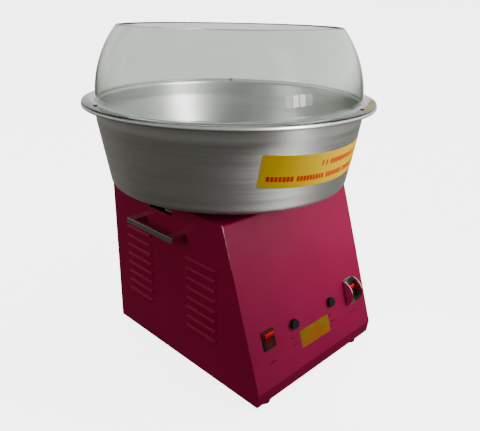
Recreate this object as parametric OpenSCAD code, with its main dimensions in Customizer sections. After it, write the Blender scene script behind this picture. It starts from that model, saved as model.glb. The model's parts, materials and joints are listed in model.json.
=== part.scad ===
// Commercial cotton candy machine: a sloped sheet-metal cabinet with a motor inside,
// a spinning heated head above it, a wide spun bowl around the head and a clear open dome.
// Origin: on the floor, under the axis of the bowl. X right, Y back, Z up, millimetres.

/* [Cabinet] */
// Width across the side panels
cabinet_w = 320; // [310:1:330]
// Depth of the flat top plate
top_d = 306; // [300:1:312]
// Height of the top plate above the floor
top_z = 307; // [305:1:309]
// Distance of the front fold from the axis
fold_out = 240; // [236:1:244]
// Height of the front lip under the fold
lip_h = 25; // [22:1:28]
// Thickness of the painted steel sheet
sheet = 1.5; // [1.2:0.1:1.8]
// Height of the rubber feet
foot_h = 14; // [12:1:16]

/* [Bowl] */
// Outer radius of the rolled rim
rim_r = 260; // [255:1:265]
// Height of the underside of the bowl
bowl_z = 322; // [321:1:324]
// Height of the top of the bowl's rim
rim_z = 467; // [460:1:472]
// Outer radius of the wall where it meets the floor
wall_low_r = 217; // [212:1:220]
// Outer radius of the wall at its widest, under the rim
wall_high_r = 237; // [234:1:238]
// Thickness of the bowl's sheet
bowl_t = 1.2; // [1:0.1:1.6]

/* [Dome] */
// Radius of the dome's curved wall, seen in section
dome_arc_r = 185; // [180:1:190]
// Height of the dome's open top edge
dome_top_z = 590; // [580:1:595]
// Thickness of the clear acrylic
dome_t = 3; // [2:0.5:4]

/* [Spinning head] */
// Outer radius of the head
head_r = 70; // [66:1:74]
// Height of the head's floor
head_z = 345; // [343:1:347]
// Radius of the sugar hole
sugar_hole_r = 24; // [20:1:26]
// Number of slots in the band
band_slots = 48; // [24:4:60]

/* [Controls] */
// Height of the switches and fuses up the slope, from the fold
controls_s = 79; // [76:1:84]
// Distance of each rocker switch from the middle
switch_x = 115; // [110:1:118]
// Distance of each fuse from the middle
fuse_x = 52; // [48:1:56]
// Half of the rocker's travel
rocker_half_angle = 11; // [8:1:12]

/* [Handles] */
// Length of the grip bar
handle_l = 128; // [110:1:140]
// Distance of the grip's outer face from the side panel
handle_out = 30; // [26:1:34]
// Height of the handle's lower edge
handle_z = 256.5; // [250:0.5:260]

/* [Hidden] */

$fn = 64;
big = 1000;
gap = 0.3;                                  // between pieces that move apart

half_w = cabinet_w / 2;
half_top = top_d / 2;
base_z = foot_h;
fold_z = base_z + lip_h;
lip_inset = 3;
slope = atan((fold_out - half_top) / (top_z - fold_z));
under_top = top_z - sheet;
inner_w = half_w - sheet;

paint = "#b01c58";
steel = "#b9bdc0";
aluminium = "#c4c4c2";
plastic = "#141414";
clear = [0.82, 0.93, 0.88, 0.35];
brass = "#c79b3b";
rocker_red = "#c40f16";
label_yellow = "#d9a514";

// ---- outlines ----

function unit(v) = v / norm(v);
function cross2(a, b) = a[0] * b[1] - a[1] * b[0];
function left_of(v) = [-v[1], v[0]];
function turned(v, a) = [v[0] * cos(a) - v[1] * sin(a), v[0] * sin(a) + v[1] * cos(a)];

// the arc of radius r that rounds corner q, on the way from p to s
function corner(p, q, s, r, steps = 6) =
    let (u = unit(p - q), v = unit(s - q), half = acos(u * v) / 2)
    let (centre = q + unit(u + v) * r / sin(half), first = q + u * r / tan(half) - centre)
    let (sweep = (180 - 2 * half) * -sign(cross2(u, v)))
    [for (i = [0:steps]) centre + turned(first, sweep * i / steps)];

// a polyline with its inner corners rounded; radii has one entry for each point
function rounded(points, radii) = concat(
    [points[0]],
    [for (i = [1:len(points) - 2]) each corner(points[i - 1], points[i], points[i + 1], radii[i])],
    [points[len(points) - 1]]);

// the same polyline moved sideways by d, to its left when d is positive
function shifted(path, d) = [for (i = [0:len(path) - 1])
    let (before = left_of(unit(path[max(i, 1)] - path[max(i, 1) - 1])))
    let (last = len(path) - 1, j = min(i, last - 1))
    let (after = left_of(unit(path[j + 1] - path[j])), middle = unit(before + after))
    path[i] + middle * d / (middle * before)];

function reversed(path) = [for (i = [len(path) - 1:-1:0]) path[i]];

// the closed outline of a sheet of thickness t, centred on a path
function sheet_outline(path, t) = concat(shifted(path, t / 2), reversed(shifted(path, -t / 2)));

function arc(centre, r, a0, a1, steps) =
    [for (i = [0:steps]) let (a = a0 + (a1 - a0) * i / steps) centre + r * [cos(a), sin(a)]];

// ---- places ----

// on the sloping front: X right, Y up the slope from the fold, Z out of the panel
module on_front(x, s)
    translate([x, -fold_out, fold_z]) rotate([90 - slope, 0, 0]) translate([0, s, 0]) children();

// on both sides of the machine
module both_sides() {
    children();
    mirror([1, 0, 0]) children();
}

module at_corners(x, y_front, y_rear)
    for (px = [-x, x], py = [y_front, y_rear]) translate([px, py, 0]) children();

module around(count, r, start = 0)
    for (i = [0:count - 1]) rotate(start + i * 360 / count) translate([r, 0, 0]) children();

module ring(r_out, r_in, h)
    difference() {
        cylinder(r = r_out, h = h);
        translate([0, 0, -1]) cylinder(r = r_in, h = h + 2);
    }

module rounded_plate(w, h, t, r)
    translate([-w / 2, -h / 2, 0]) linear_extrude(t) union() {
        translate([r, 0]) square([w - 2 * r, h]);
        translate([0, r]) square([w, h - 2 * r]);
        for (x = [r, w - r], y = [r, h - r]) translate([x, y]) circle(r = r);
    }

// ---- cabinet shell ----

fold_r = 8;
top_bend_r = 4;
top_hole_r = 30;
front_line = rounded(
    [[-fold_out + lip_inset, base_z], [-fold_out, fold_z], [-half_top, top_z], [half_top, top_z]],
    [0, fold_r, top_bend_r, 0]);
inside_line = shifted(front_line, -sheet);

switch_hole_w = 24.2;
switch_hole_h = 28.7;
fuse_body_r = 6;
fuse_s = controls_s + 1.3;

module extruded_along_x(outline, w)
    translate([-w / 2, 0, 0]) rotate([90, 0, 90]) linear_extrude(w) polygon(outline);

module front_top_panel() {
    color(paint) difference() {
        extruded_along_x(concat(front_line, reversed(inside_line)), cabinet_w);
        translate([0, 0, top_z - 10]) cylinder(r = top_hole_r, h = 20);
        for (side = [-1, 1]) {
            on_front(side * switch_x, controls_s)
                translate([-switch_hole_w / 2, -switch_hole_h / 2, -5]) cube([switch_hole_w, switch_hole_h, 10]);
            on_front(side * fuse_x, fuse_s) translate([0, 0, -5]) cylinder(r = fuse_body_r, h = 10);
        }
    }
}

louvre_l = 76;
louvre_r = 5.2;
louvre_pitch = 18.9;
louvre_rows = 8;
louvre_skin = 1.1;
// each column: [middle in Y, height of the lowest louvre]
louvre_columns = [[73, 95], [-102, 91]];
slot_y = [-26, 36];
slot_z = [287, 296];
angle_w = 12;
handle_y = 1.5;
handle_h = 9.5;
handle_bar_t = 5;
handle_leg_w = 17;
handle_screw_y = (handle_l - handle_leg_w) / 2;
handle_screw_r = 2.4;
rear_screw_z = [40, 160, 285];
rear_screw_r = 2;

module capsule(r)
    rotate([90, 0, 0]) {
        translate([0, 0, -louvre_l / 2 + louvre_r]) cylinder(r = r, h = louvre_l - 2 * louvre_r, $fn = 32);
        for (end = [-1, 1]) translate([0, 0, end * (louvre_l / 2 - louvre_r)]) sphere(r = r, $fn = 32);
    }

module at_louvres()
    for (column = louvre_columns, row = [0:louvre_rows - 1])
        translate([-half_w, column[0], column[1] + row * louvre_pitch]) children();

// a louvre's hood stands out of the panel's face and is open underneath
module louvre_hood()
    intersection() {
        difference() {
            capsule(louvre_r);
            capsule(louvre_r - louvre_skin);
        }
        translate([-10, -louvre_l, 0]) cube([10, 2 * louvre_l, 10]);
    }

module louvre_opening()
    intersection() {
        capsule(louvre_r - louvre_skin);
        translate([-10, -louvre_l, 0]) cube([20, 2 * louvre_l, 10]);
    }

module left_side_plate()
    difference() {
        union() {
            difference() {
                translate([-half_w + sheet / 2, 0, 0])
                    extruded_along_x(concat(inside_line, [[half_top, base_z]]), sheet);
                at_louvres() louvre_opening();
            }
            at_louvres() louvre_hood();
        }
        translate([-half_w - 5, slot_y[0], slot_z[0]]) cube([10, slot_y[1] - slot_y[0], slot_z[1] - slot_z[0]]);
        for (end = [-1, 1]) translate([-half_w - 5, handle_y + end * handle_screw_y, handle_z + handle_h / 2])
            rotate([0, 90, 0]) cylinder(r = handle_screw_r, h = 10);
    }

module left_side_panel() {
    color(paint) left_side_plate();
}

module right_side_panel() {
    color(paint) mirror([1, 0, 0]) left_side_plate();
}

gland_x = -105;
gland_z = 58;
gland_thread_r = 8;
cord_r = 4;

module rear_panel() {
    color(paint) difference() {
        translate([-inner_w, half_top - sheet, base_z + sheet])
            cube([2 * inner_w, sheet, under_top - base_z - sheet]);
        translate([gland_x, half_top + 5, gland_z]) rotate([90, 0, 0]) cylinder(r = gland_thread_r, h = 20);
        rear_screw_holes();
    }
}

module rear_screw_holes()
    both_sides() for (z = rear_screw_z) translate([-inner_w + angle_w / 2, half_top + 5, z])
        rotate([90, 0, 0]) cylinder(r = rear_screw_r, h = 20);

// an angle strip inside each rear corner takes the panel's screws
module rear_angles() {
    color(steel) difference() {
        both_sides() translate([-inner_w, half_top - sheet, base_z + sheet]) {
            translate([0, -sheet, 0]) cube([angle_w, sheet, under_top - base_z - sheet]);
            translate([0, -angle_w, 0]) cube([sheet, angle_w, under_top - base_z - sheet]);
        }
        rear_screw_holes();
    }
}

module rear_panel_screws() {
    color(steel) both_sides() for (z = rear_screw_z)
        translate([-inner_w + angle_w / 2, half_top, z]) rotate([90, 0, 0]) {
            translate([0, 0, -2.2]) cylinder(r = 4, h = 2.2);
            cylinder(r = rear_screw_r, h = 8);
        }
}

foot_x = 125;
foot_front_y = -220;
foot_rear_y = 128;
foot_screw_r = 2.5;
vent_l = 60;
base_front_y = -fold_out + lip_inset + 2;   // just behind the lip

module base_plate() {
    color(steel) difference() {
        translate([-inner_w, base_front_y, base_z]) cube([2 * inner_w, half_top - base_front_y, sheet]);
        at_corners(foot_x, foot_front_y, foot_rear_y)
            translate([0, 0, base_z - 5]) cylinder(r = foot_screw_r, h = 20);
        for (x = [-60:20:60]) translate([x, 0, base_z - 5]) {
            translate([-2.5, -vent_l / 2, 0]) cube([5, vent_l, 10]);
            for (end = [-1, 1]) translate([0, end * vent_l / 2, 0]) cylinder(r = 2.5, h = 10);
        }
    }
}

module feet() {
    color(plastic) at_corners(foot_x, foot_front_y, foot_rear_y) difference() {
        cylinder(r1 = 10.5, r2 = 12.5, h = foot_h);
        translate([0, 0, -1]) cylinder(r = 5, h = 7);
        cylinder(r = foot_screw_r, h = foot_h + 1);
    }
}

module foot_screws() {
    color(steel) at_corners(foot_x, foot_front_y, foot_rear_y) {
        translate([0, 0, 3]) cylinder(r = 4.2, h = 3);
        translate([0, 0, 3]) cylinder(r = foot_screw_r, h = foot_h + 4);
    }
}

module left_handle_bar() {
    grip_in = handle_out - handle_bar_t;
    difference() {
        translate([-half_w, handle_y, handle_z]) linear_extrude(handle_h) difference() {
            union() {
                translate([-handle_out, -handle_l / 2 + 2]) square([handle_out, handle_l - 4]);
                translate([-handle_out + 2, -handle_l / 2]) square([handle_out - 2, handle_l]);
                for (end = [-1, 1]) translate([-handle_out + 2, end * (handle_l / 2 - 2)]) circle(r = 2);
            }
            translate([-grip_in + 4, -handle_l / 2 + handle_leg_w]) square([grip_in, handle_l - 2 * handle_leg_w]);
            translate([-grip_in, -handle_l / 2 + handle_leg_w + 4])
                square([grip_in, handle_l - 2 * handle_leg_w - 8]);
            for (end = [-1, 1]) translate([-grip_in + 4, end * (handle_l / 2 - handle_leg_w - 4)]) circle(r = 4);
        }
        for (end = [-1, 1]) translate([-half_w - 14, handle_y + end * handle_screw_y, handle_z + handle_h / 2])
            rotate([0, 90, 0]) cylinder(r = handle_screw_r, h = 20);
    }
}

module left_handle() {
    color(steel) left_handle_bar();
}

module right_handle() {
    color(steel) mirror([1, 0, 0]) left_handle_bar();
}

module handle_screws() {
    color(steel) both_sides() for (end = [-1, 1])
        translate([-inner_w, handle_y + end * handle_screw_y, handle_z + handle_h / 2]) rotate([0, 90, 0]) {
            cylinder(r = 4.5, h = 3);
            translate([0, 0, -sheet - 14]) cylinder(r = handle_screw_r, h = sheet + 15);
        }
}

// ---- motor and its bracket ----

shaft_r = 5;
bracket_t = 3;
bracket_z = 266;
bracket_half_x = 65;
bracket_half_y = 45;
bush_h = 4;
motor_top_z = bracket_z - bush_h;
cap_t = 4;
motor_bottom_z = 176;
motor_r = 46;
cap_r = 57;
motor_bolt_place = 51.5;
motor_bolt_r = 2.5;
bearing_r = 11;
rotor_r = 27.4;

module motor_bracket() {
    // the end tabs sit just inside the upper slots of the side panels
    tab_y = [-60, -6];
    color(steel) difference() {
        union() {
            translate([-bracket_half_x, -bracket_half_y, bracket_z])
                cube([2 * bracket_half_x, 2 * bracket_half_y, bracket_t]);
            both_sides() {
                translate([-bracket_half_x, -bracket_half_y, bracket_z])
                    cube([bracket_t, 2 * bracket_half_y, under_top - bracket_z]);
                translate([-inner_w, -bracket_half_y, under_top - bracket_t])
                    cube([inner_w - bracket_half_x + 1, 2 * bracket_half_y, bracket_t]);
                translate([-inner_w, tab_y[0], 291])
                    cube([bracket_t, tab_y[1] - tab_y[0], under_top - 291]);
            }
        }
        cylinder(r = 16, h = big);
        around(4, motor_bolt_place, 45) cylinder(r = motor_bolt_r, h = bracket_z + 10);
    }
}

module motor_mount_bushes() {
    color(plastic) around(4, motor_bolt_place, 45) translate([0, 0, motor_top_z])
        ring(7, motor_bolt_r, bush_h);
}

module motor_bolts() {
    color(steel) around(4, motor_bolt_place, 45) {
        translate([0, 0, motor_bottom_z - 4]) cylinder(r = 4.5, h = 4, $fn = 6);
        translate([0, 0, motor_bottom_z - 2]) cylinder(r = motor_bolt_r, h = bracket_z + 10 - motor_bottom_z);
        translate([0, 0, bracket_z + bracket_t]) cylinder(r = 4.5, h = 3.5, $fn = 6);
    }
}

module motor_housing() {
    color(steel) translate([0, 0, motor_bottom_z + cap_t])
        ring(motor_r, motor_r - 2.5, motor_top_z - motor_bottom_z - 2 * cap_t);
}

module motor_cap()
    difference() {
        cylinder(r = cap_r, h = cap_t);
        translate([0, 0, -1]) cylinder(r = bearing_r, h = cap_t + 2);
        around(4, motor_bolt_place, 45) translate([0, 0, -1]) cylinder(r = motor_bolt_r, h = cap_t + 2);
    }

module motor_caps() {
    color(aluminium) for (z = [motor_bottom_z, motor_top_z - cap_t]) translate([0, 0, z]) motor_cap();
}

module motor_bearings() {
    color(steel) for (z = [motor_bottom_z, motor_top_z - cap_t]) translate([0, 0, z])
        ring(bearing_r, shaft_r + 0.05, cap_t);
}

module stator_core() {
    color("#7c5a34") translate([0, 0, motor_bottom_z + 14])
        ring(motor_r - 2.5, rotor_r + 0.6, motor_top_z - motor_bottom_z - 28);
}

ring_r = 14;
ring_h = 6;
ring_zs = [278, 289];
brush_half_w = 3;
holder_x = 26;
holder_l = 24;

module brush_holder() {
    color("#5a2e1b") difference() {
        translate([holder_x, -9, bracket_z + bracket_t]) cube([holder_l, 18, 30]);
        for (z = ring_zs) translate([holder_x - 1, -brush_half_w, z + 0.5])
            cube([holder_l - 3, 2 * brush_half_w, ring_h - 1]);
    }
}

module carbon_brushes() {
    color("#2b2b2d") for (z = ring_zs) translate([ring_r + gap, -brush_half_w, z + 0.5])
        cube([22, 2 * brush_half_w, ring_h - 1]);
}

// ---- electrics in the cabinet ----

block_place = [-100, 90, base_z + sheet];

module terminal_block() {
    color("#e9e7dc") difference() {
        translate([block_place[0] - 30, block_place[1] - 10, block_place[2]]) cube([60, 20, 16]);
        for (i = [-2:2]) translate([block_place[0] + i * 11.5, block_place[1], block_place[2] + 8])
            cylinder(r = 2.4, h = 10);
    }
}

// straight runs of wire along X, Y and Z; the wider runs reach past the bends
wire_r = 1.6;
bend_r = 1.9;
past_bend = 2.5;
floor_wire_z = 22;
switch_wire_y = -187;
switch_wire_x = switch_x + 6;
high_wire_z = 280;
brush_wire_x = 38;
rear_wire_y = block_place[1] + 12;

module run_x(x0, x1, y, z, r)
    translate([x0, y, z]) rotate([0, 90, 0]) cylinder(r = r, h = x1 - x0);

module run_y(y0, y1, x, z, r)
    translate([x, y1, z]) rotate([90, 0, 0]) cylinder(r = r, h = y1 - y0);

module run_z(z0, z1, x, y, r)
    translate([x, y, z0]) cylinder(r = r, h = z1 - z0);

module internal_wiring() {
    color("#3a3a3f") {
        for (x = [-switch_wire_x, switch_wire_x]) run_z(floor_wire_z, 93, x, switch_wire_y, wire_r);
        run_y(switch_wire_y - past_bend, block_place[1] - 10, -switch_wire_x, floor_wire_z, bend_r);
        run_y(switch_wire_y - past_bend, block_place[1] - 2.5, switch_wire_x, floor_wire_z, bend_r);
        run_x(block_place[0] + 30, switch_wire_x, block_place[1] - 5, floor_wire_z, wire_r);
        run_z(floor_wire_z, high_wire_z, -90, rear_wire_y, wire_r);
        run_x(-90 - past_bend, brush_wire_x + past_bend, rear_wire_y, high_wire_z, bend_r);
        run_y(9, rear_wire_y, brush_wire_x, high_wire_z, wire_r);
    }
}

module gland_body() {
    color(plastic) translate([gland_x, half_top, gland_z]) rotate([-90, 0, 0]) difference() {
        union() {
            translate([0, 0, -10]) cylinder(r = gland_thread_r, h = 17);
            cylinder(r = 12, h = 4, $fn = 6);
            translate([0, 0, -sheet - 4]) cylinder(r = 12, h = 4, $fn = 6);
        }
        translate([0, 0, -20]) cylinder(r = cord_r, h = 40);
    }
}

module gland_cap() {
    color(plastic) translate([gland_x, half_top + 7, gland_z]) rotate([-90, 0, 0]) difference() {
        union() {
            cylinder(r = 11, h = 8, $fn = 6);
            translate([0, 0, 8]) cylinder(r1 = 9, r2 = 6.5, h = 5);
        }
        translate([0, 0, -1]) cylinder(r = cord_r, h = 20);
    }
}

// ---- switches ----

bezel_w = 28;
bezel_h = 32.5;
bezel_t = 2;
rocker_w = 20.4;
rocker_r = 12.2;
guard_t = 1.5;
guard_w = 32;
guard_h = 52;
guard_out = 19;
terminal_z = 22;

module switch_housing()
    difference() {
        union() {
            rounded_plate(bezel_w, bezel_h, bezel_t, 1.5);
            translate([-12, -14.25, -terminal_z]) cube([24, 28.5, terminal_z + 1]);
        }
        translate([-rocker_w / 2 - gap, -rocker_r - gap, -8]) cube([rocker_w + 2 * gap, 2 * (rocker_r + gap), 20]);
    }

// a rocker turned about the middle of the panel's face; its faces meet in a shallow V
module rocker()
    rotate([rocker_half_angle, 0, 0]) rotate([0, 90, 0]) intersection() {
        translate([0, 0, -rocker_w / 2]) cylinder(r = rocker_r, h = rocker_w);
        translate([0, 0, -rocker_w]) linear_extrude(2 * rocker_w) polygon([[5, -20], [5, 20],
            [-2.2 - 20 * tan(rocker_half_angle), 20], [-2.2, 0], [-2.2 - 20 * tan(rocker_half_angle), -20]]);
    }

module power_switch_housing() {
    color(plastic) on_front(-switch_x, controls_s) switch_housing();
}

module heat_switch_housing() {
    color(plastic) on_front(switch_x, controls_s) translate([0, 0, guard_t]) switch_housing();
}

module power_rocker() {
    color(rocker_red) on_front(-switch_x, controls_s) rocker();
}

module heat_rocker() {
    color(rocker_red) on_front(switch_x, controls_s) translate([0, 0, guard_t]) rocker();
}

module heat_switch_guard() {
    // the cheeks are segments of a disc whose chord lies on the panel
    cheek_chord = 50;
    cheek_r = (pow(cheek_chord / 2, 2) + pow(guard_out, 2)) / (2 * guard_out);
    color(steel) on_front(switch_x, controls_s) difference() {
        union() {
            rounded_plate(guard_w, guard_h, guard_t, 9);
            for (side = [-1, 1]) intersection() {
                translate([side * (guard_w - guard_t) / 2 - guard_t / 2, 0, guard_out - cheek_r])
                    rotate([0, 90, 0]) cylinder(r = cheek_r, h = guard_t);
                translate([-guard_w, -guard_h, 0]) cube([2 * guard_w, 2 * guard_h, 40]);
            }
        }
        translate([-switch_hole_w / 2, -switch_hole_h / 2, -5]) cube([switch_hole_w, switch_hole_h, 10]);
    }
}

module switch_terminals() {
    color(brass) for (side = [-1, 1]) on_front(side * switch_x, controls_s)
        translate([0, 0, -terminal_z + (side > 0 ? guard_t : 0)])
            for (x = [-6, 6], y = [-7, 7]) translate([x - 0.4, y - 3, -9]) cube([0.8, 6, 9]);
}

// ---- fuses ----

fuse_flange_t = 2;
carrier_r = 4.2;
fuse_cap_r = 8.5;
fuse_cap_h = 4.5;
cap_bore_h = 2.3;
fuse_bore_r = 4.6;

module fuse_holders() {
    color(plastic) for (side = [-1, 1]) on_front(side * fuse_x, fuse_s) difference() {
        union() {
            cylinder(r = 8.2, h = fuse_flange_t);
            translate([0, 0, -38]) cylinder(r = fuse_body_r, h = 39);
        }
        translate([0, 0, -34]) cylinder(r = fuse_bore_r, h = 60);
    }
}

module fuse_nuts() {
    color(plastic) for (side = [-1, 1]) on_front(side * fuse_x, fuse_s)
        translate([0, 0, -sheet - 4]) difference() {
            cylinder(r = 9, h = 4, $fn = 6);
            translate([0, 0, -1]) cylinder(r = fuse_body_r, h = 6);
        }
}

// the carrier holds the glass fuse and follows the cap out of the holder
module fuse_carrier() {
    translate([0, 0, -12]) cylinder(r = carrier_r, h = 12 + fuse_flange_t + cap_bore_h);
    translate([0, 0, -32]) cylinder(r = 2.6, h = 21);
}

module fuse_cap()
    translate([0, 0, fuse_flange_t + gap]) difference() {
        cylinder(r = fuse_cap_r, h = fuse_cap_h);
        translate([0, 0, -1]) cylinder(r = carrier_r + gap, h = 1 + cap_bore_h);
        translate([-6, -0.8, fuse_cap_h - 1]) cube([12, 1.6, 5]);
        around(18, fuse_cap_r + 0.4) translate([0, 0, -1]) cylinder(r = 0.9, h = fuse_cap_h + 2, $fn = 16);
    }

module left_fuse_carrier() {
    color("#d8d2c0") on_front(-fuse_x, fuse_s) fuse_carrier();
}

module right_fuse_carrier() {
    color("#d8d2c0") on_front(fuse_x, fuse_s) fuse_carrier();
}

module left_fuse_cap() {
    color(plastic) on_front(-fuse_x, fuse_s) fuse_cap();
}

module right_fuse_cap() {
    color(plastic) on_front(fuse_x, fuse_s) fuse_cap();
}

label_t = 0.3;
panel_label_size = [80, 31];
panel_label_s = 45.5;

module panel_label() {
    color(label_yellow) on_front(0, panel_label_s)
        translate([-panel_label_size[0] / 2, -panel_label_size[1] / 2, 0])
            cube([panel_label_size[0], panel_label_size[1], label_t]);
}

// ---- seat of the bowl ----

seat_r = 150;
pin_place = 144;
pin_r = 1.5;
pin_clearance = 0.35;
gasket_t = 2;

module bowl_seat() {
    color(steel) translate([0, 0, top_z]) ring(seat_r, seat_r - 12, bowl_z - top_z - gasket_t - gap);
}

module seat_gasket() {
    color(plastic) translate([0, 0, bowl_z - gasket_t - gap]) difference() {
        ring(seat_r, seat_r - 12, gasket_t);
        around(3, pin_place, 30) translate([0, 0, -1]) cylinder(r = pin_r, h = gasket_t + 2);
    }
}

module locating_pins() {
    color(steel) around(3, pin_place, 30) translate([0, 0, bowl_z - gasket_t - gap]) {
        cylinder(r = pin_r, h = 6);
        translate([0, 0, 6]) cylinder(r1 = pin_r, r2 = pin_r - 0.7, h = 2);
    }
}

module shaft_collar() {
    color(steel) translate([0, 0, under_top]) ring(top_hole_r, top_hole_r - 1.5, 18);
}

// ---- spinning parts ----

shaft_bottom_z = 158;
head_floor_t = 3;
band_z = head_z + head_floor_t;
band_h = 40;
cap_z = band_z + band_h;
post_place = 51.5;
band_r = head_r - 1.2;

module motor_shaft() {
    color(steel) translate([0, 0, shaft_bottom_z]) cylinder(r = shaft_r, h = head_z + 14 - shaft_bottom_z);
}

module rotor() {
    color("#8d9093") translate([0, 0, motor_bottom_z + 16])
        ring(rotor_r, shaft_r, motor_top_z - motor_bottom_z - 32);
}

module cooling_fan() {
    color(plastic) translate([0, 0, shaft_bottom_z + 1]) {
        ring(11, shaft_r, 11);
        around(7, 10) rotate([55, 0, 0]) translate([0, -5.5, -0.8]) cube([27, 11, 1.6]);
    }
}

module slip_ring_sleeve() {
    color("#5a2e1b") translate([0, 0, ring_zs[0] - 5]) ring(ring_r - 3, shaft_r, 27);
}

module slip_rings() {
    color(brass) for (z = ring_zs) translate([0, 0, z]) ring(ring_r, ring_r - 3, ring_h);
}

module head_hub() {
    color("#5a2e1b") translate([0, 0, head_z - 16]) ring(13, shaft_r, 16);
}

module head_base() {
    color(aluminium) {
        translate([0, 0, head_z]) ring(head_r, shaft_r, head_floor_t);
        translate([0, 0, head_z]) ring(head_r, band_r, head_floor_t + 5);
    }
}

module head_nut() {
    color(steel) translate([0, 0, band_z]) difference() {
        cylinder(r = 9.5, h = 7, $fn = 6);
        translate([0, 0, -1]) cylinder(r = shaft_r, h = 9);
    }
}

module heater_rings() {
    color("#6d6a66") for (z = [band_z + 11, band_z + 26]) translate([0, 0, z])
        rotate_extrude() translate([58.2, 0]) circle(r = 3.2, $fn = 24);
}

module head_posts() {
    color("#ece6d8") around(4, post_place) translate([0, 0, band_z]) difference() {
        cylinder(r = 3, h = band_h);
        translate([0, 0, band_h - 10]) cylinder(r = 1.6, h = 11);
    }
}

module head_band() {
    color(aluminium) translate([0, 0, band_z]) difference() {
        ring(band_r, band_r - 1.2, band_h);
        around(band_slots, band_r - 4) translate([0, -0.9, 6]) cube([8, 1.8, band_h - 12]);
    }
}

module head_cap() {
    color(aluminium) translate([0, 0, cap_z]) difference() {
        union() {
            cylinder(r = head_r, h = 2.5);
            translate([0, 0, -4]) ring(head_r, band_r, 5);
            cylinder(r = sugar_hole_r + 1.5, h = 10);
        }
        translate([0, 0, -5]) cylinder(r = sugar_hole_r, h = 20);
        around(4, post_place) translate([0, 0, -5]) cylinder(r = 1.6, h = 10);
    }
}

module cap_screws() {
    color(steel) around(4, post_place) {
        translate([0, 0, cap_z + 2.5]) cylinder(r = 3.5, h = 2);
        translate([0, 0, cap_z - 10]) cylinder(r = 1.6, h = 13);
    }
}

// ---- bowl ----

bowl_mid_z = bowl_z + bowl_t / 2;
flange_mid_z = rim_z - bowl_t / 2;
bead_r = 2.8;
bead_place = rim_r - bead_r;
collar_r = 86;
neck_r = wall_high_r - 1;
widest_z = 440;
bowl_line = rounded(
    [[collar_r + bowl_t / 2, bowl_z + 24], [collar_r + bowl_t / 2, bowl_mid_z],
     [wall_low_r - bowl_t / 2, bowl_mid_z], [wall_high_r - bowl_t / 2, widest_z],
     [neck_r - bowl_t / 2, flange_mid_z], [bead_place, flange_mid_z]],
    [0, 3, 12, 40, 3.5, 0]);
button_count = 3;
button_start = 46;
button_place = 245;
button_r = 2.6;

function wall_r(z) = wall_low_r + (wall_high_r - wall_low_r) * (z - bowl_z) / (widest_z - bowl_z);

module bowl() {
    color(aluminium) difference() {
        union() {
            rotate_extrude($fn = 180) polygon(sheet_outline(bowl_line, bowl_t));
            translate([0, 0, flange_mid_z + bowl_t / 2 - bead_r])
                rotate_extrude($fn = 180) translate([bead_place, 0]) circle(r = bead_r, $fn = 24);
        }
        around(3, pin_place, 30) translate([0, 0, bowl_z - 5]) cylinder(r = pin_r + pin_clearance, h = 10);
        around(button_count, button_place, button_start) translate([0, 0, rim_z - 5]) cylinder(r = button_r + 0.6, h = 10);
    }
}

bowl_label_w = 322;
bowl_label_h = 53.7;
bowl_label_left = -147;
bowl_label_z = 387.3;
bowl_label_turn = 7.2;
wall_lean = atan((wall_high_r - wall_low_r) / (widest_z - bowl_z));

// a long thin sticker laid square on the tapered wall, so its ends stand higher than its middle
module bowl_label() {
    low = bowl_label_z - bowl_label_h;
    high = bowl_label_z + bowl_label_h;
    color(label_yellow) intersection() {
        rotate_extrude($fn = 180) polygon([[wall_r(low) + 0.1, low], [wall_r(low) + 0.1 + label_t, low],
            [wall_r(high) + 0.1 + label_t, high], [wall_r(high) + 0.1, high]]);
        rotate(bowl_label_turn) translate([0, -wall_r(bowl_label_z), bowl_label_z]) rotate([wall_lean, 0, 0])
            translate([bowl_label_left, -10, -bowl_label_h / 2]) cube([bowl_label_w, 160, bowl_label_h]);
    }
}

// ---- dome ----

dome_low_z = rim_z + 7;
dome_flange_z = rim_z + dome_t / 2 + gap;
dome_wall_r = wall_high_r - 1 - dome_t / 2;
dome_arc_mid_r = dome_arc_r - dome_t / 2;
dome_centre = [dome_wall_r - dome_arc_mid_r, dome_low_z];
dome_line = concat(
    rounded([[rim_r - 2.5, dome_flange_z], [dome_wall_r, dome_flange_z], [dome_wall_r, dome_low_z - 0.5]], [0, 4, 0]),
    arc(dome_centre, dome_arc_mid_r, 0, asin((dome_top_z - dome_low_z) / dome_arc_mid_r), 12));

module dome() {
    color(clear) difference() {
        rotate_extrude($fn = 180) polygon(sheet_outline(dome_line, dome_t));
        around(button_count, button_place, button_start) translate([0, 0, rim_z - 5]) cylinder(r = button_r, h = 20);
    }
}

rim_label_size = [14, 120];
rim_label_in = 244.2;
rim_label_turn = -62.5;

// a straight sticker on the dome's flange, trimmed to the round edge
module rim_label() {
    color(label_yellow) rotate(rim_label_turn) translate([0, 0, rim_z + gap + dome_t]) intersection() {
        translate([rim_label_in, -rim_label_size[1] / 2, 0]) cube([rim_label_size[0], rim_label_size[1], label_t]);
        cylinder(r = rim_r - 3.5, h = label_t, $fn = 180);
    }
}

module dome_buttons() {
    color(plastic) around(button_count, button_place, button_start) {
        translate([0, 0, rim_z - 3]) cylinder(r = button_r, h = dome_t + gap + 4);
        translate([0, 0, rim_z + dome_t + gap]) cylinder(r = 3.6, h = 1.2);
    }
}

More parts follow.
